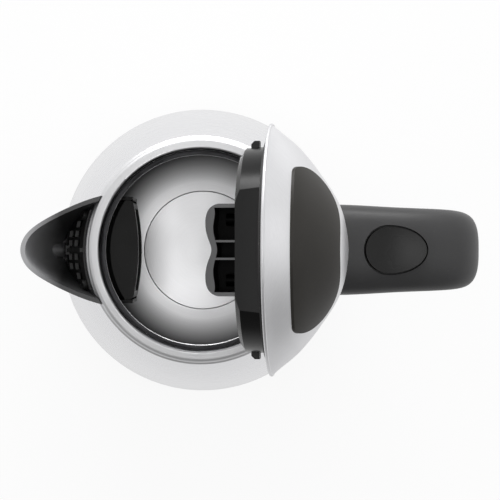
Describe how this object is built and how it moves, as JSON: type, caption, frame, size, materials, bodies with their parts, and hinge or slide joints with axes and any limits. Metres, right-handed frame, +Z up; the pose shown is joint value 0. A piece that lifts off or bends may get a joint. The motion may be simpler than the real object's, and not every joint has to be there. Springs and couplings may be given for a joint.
{
  "type": "electric kettle",
  "caption": "Domed steel electric kettle with an open V spout, a loop handle with a lid button, a hinged lid and a round power base.",
  "frame": {"origin": "on the kettle's upright axis, at the table plane under the power base's foot ring", "axes": "+Z up, +X towards the handle, -X towards the spout, +Y across"},
  "size_m": [0.2393, 0.165, 0.2866],
  "materials": {
    "steel": "brushed",
    "steel_mirror": "polished",
    "steel_plain": "satin",
    "aluminium": "satin",
    "brass": "bare",
    "black_satin": "satin",
    "black_gloss": "gloss",
    "grey_plastic": "satin",
    "control_plastic": "matte",
    "silicone": "matte",
    "clear_silicone": "satin",
    "rubber": "matte",
    "spring_steel": "bright",
    "lens": "gloss"
  },
  "bodies": {
    "vessel": {"body_shell": "steel", "rim_ring": "steel_mirror", "floor_plate": "steel", "heat_spreader": "aluminium", "heating_element": "steel_plain", "element_terminals": "steel_plain", "control_housing": "control_plastic", "control_contacts": "brass", "bimetal_discs": "steel_plain", "cover_posts": "steel_plain", "bottom_cover": "black_satin", "bottom_seal": "silicone", "bottom_screws": "steel_plain", "spout": "grey_plastic", "spout_gasket": "silicone", "spout_grille": "black_gloss", "spout_screw": "steel_plain", "filter_holder": "black_satin", "hinge_mount": "black_satin", "mount_screws": "steel_plain", "hinge_pin": "steel_plain", "lid_spring": "spring_steel", "handle_cover": "grey_plastic", "handle_liner": "black_satin", "grip_screws": "steel_plain", "handle_bracket": "steel_plain", "bracket_screw": "steel_plain", "button_spring": "spring_steel", "rod_spring": "spring_steel", "steam_tube": "clear_silicone", "steam_thermostat": "control_plastic", "switch_pin": "steel_plain", "switch_lens": "lens"},
    "lid": {"lid_shell": "steel", "lid_pad": "grey_plastic", "lid_deck": "black_satin", "lid_plug": "black_satin", "lid_seal": "silicone", "plug_screws": "steel_plain", "steam_scoop": "black_gloss", "scoop_screws": "steel_plain", "hinge_arm": "black_satin", "arm_screws": "steel_plain", "left_catch_spring": "spring_steel", "right_catch_spring": "spring_steel"},
    "catch_slider": {"catch_slider": "control_plastic"},
    "left_catch": {"left_catch": "black_gloss"},
    "right_catch": {"right_catch": "black_gloss"},
    "release_button": {"release_button": "black_gloss"},
    "release_rod": {"release_rod": "control_plastic"},
    "switch": {"switch_lever": "black_gloss"},
    "filter": {"filter_frame": "black_satin", "filter_mesh": "steel_plain"},
    "power_base": {"base_top": "black_satin", "base_bottom": "black_satin", "base_foot_ring": "rubber", "base_hub": "black_gloss", "base_contacts": "brass", "base_screws": "steel_plain", "cord_gland": "rubber"}
  },
  "joints": [
    {"name": "lid_hinge", "type": "hinge", "parent": "vessel", "child": "lid", "pos_m": [0.052, 0, 0.1779], "axis": [0, 1, 0], "range_deg": [-83.5, 0], "stiffness_Nm_per_rad": 0.045, "springref_deg": 57.3},
    {"name": "slider_slide", "type": "slide", "parent": "lid", "child": "catch_slider", "axis": [-0.1132, 0, 0.9936], "range_m": [0, 0.003], "stiffness_N_per_m": 60, "springref_m": -0.002},
    {"name": "left_catch_slide", "type": "slide", "parent": "lid", "child": "left_catch", "axis": [0, -1, 0], "range_m": [0, 0.0025], "stiffness_N_per_m": 150, "springref_m": -0.0015, "deforming": ["left_catch_spring"]},
    {"name": "right_catch_slide", "type": "slide", "parent": "lid", "child": "right_catch", "axis": [0, 1, 0], "range_m": [0, 0.0025], "stiffness_N_per_m": 150, "springref_m": -0.0015, "deforming": ["right_catch_spring"]},
    {"name": "button_press", "type": "slide", "parent": "vessel", "child": "release_button", "axis": [0, 0, -1], "range_m": [0, 0.0035], "stiffness_N_per_m": 300, "springref_m": -0.002, "deforming": ["button_spring"]},
    {"name": "rod_slide", "type": "slide", "parent": "vessel", "child": "release_rod", "axis": [-1, 0, 0], "range_m": [0, 0.0035], "stiffness_N_per_m": 100, "springref_m": -0.002, "deforming": ["rod_spring"]},
    {"name": "switch_rock", "type": "hinge", "parent": "vessel", "child": "switch", "pos_m": [0.1, 0, 0.0625], "axis": [0, 1, 0], "range_deg": [0, 16]},
    {"name": "filter_lift", "type": "slide", "parent": "vessel", "child": "filter", "axis": [0, 0, 1], "range_m": [0, 0.03]},
    {"name": "base_swivel", "type": "hinge", "parent": "vessel", "child": "power_base", "pos_m": [0, 0, 0], "axis": [0, 0, 1], "continuous": true}
  ],
  "couplings": [
    {"joint": "rod_slide", "follows": "button_press", "ratio": 1},
    {"joint": "left_catch_slide", "follows": "slider_slide", "ratio": 0.83333},
    {"joint": "right_catch_slide", "follows": "slider_slide", "ratio": 0.83333}
  ]
}
